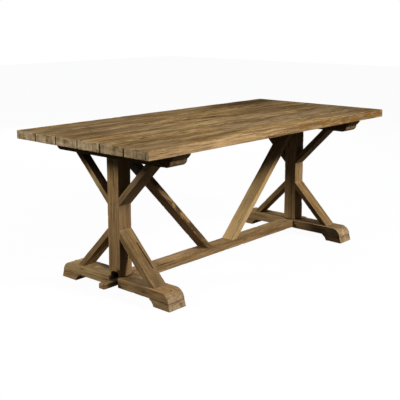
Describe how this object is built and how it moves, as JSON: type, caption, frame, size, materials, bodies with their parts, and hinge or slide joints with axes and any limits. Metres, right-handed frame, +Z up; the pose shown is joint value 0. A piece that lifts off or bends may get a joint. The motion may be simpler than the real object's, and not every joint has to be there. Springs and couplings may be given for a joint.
{
  "type": "sawbuck table",
  "caption": "Plank-top dining table on braced trestles with square posts and padded feet, joined low down by a long stretcher with slanting braces.",
  "frame": {"origin": "on the floor, under the middle of the top", "axes": "+X along the table, -Y the front long side, +Z up"},
  "size_m": [1.9, 0.9, 0.76],
  "materials": {
    "top_wood": "worn, dark-stained planks with pale wear, thin matt wax",
    "trestle_wood": "old brown timber, matt",
    "peg_wood": "dark hardwood pegs",
    "fastener_steel": "plain zinc",
    "insert_brass": "plain"
  },
  "bodies": {
    "root": {"batten_left": "trestle_wood", "batten_right": "trestle_wood", "batten_screws_left": "fastener_steel", "batten_screws_right": "fastener_steel", "bearer_bolts_left": "fastener_steel", "bearer_bolts_right": "fastener_steel", "bearer_left": "trestle_wood", "bearer_right": "trestle_wood", "bolt_inserts_left": "insert_brass", "bolt_inserts_right": "insert_brass", "brace_left_lower_front": "trestle_wood", "brace_left_lower_rear": "trestle_wood", "brace_left_upper_front": "trestle_wood", "brace_left_upper_rear": "trestle_wood", "brace_pegs_left": "peg_wood", "brace_pegs_right": "peg_wood", "brace_right_lower_front": "trestle_wood", "brace_right_lower_rear": "trestle_wood", "brace_right_upper_front": "trestle_wood", "brace_right_upper_rear": "trestle_wood", "foot_left": "trestle_wood", "foot_right": "trestle_wood", "long_brace_left": "trestle_wood", "long_brace_right": "trestle_wood", "pad_left_front": "trestle_wood", "pad_left_rear": "trestle_wood", "pad_pegs_left": "peg_wood", "pad_pegs_right": "peg_wood", "pad_right_front": "trestle_wood", "pad_right_rear": "trestle_wood", "plank_1": "top_wood", "plank_2": "top_wood", "plank_3": "top_wood", "plank_4": "top_wood", "plank_5": "top_wood", "plank_6": "top_wood", "post_left": "trestle_wood", "post_right": "trestle_wood", "stretcher": "trestle_wood", "tongue_peg_left": "peg_wood", "tongue_peg_right": "peg_wood"}
  },
  "joints": []
}
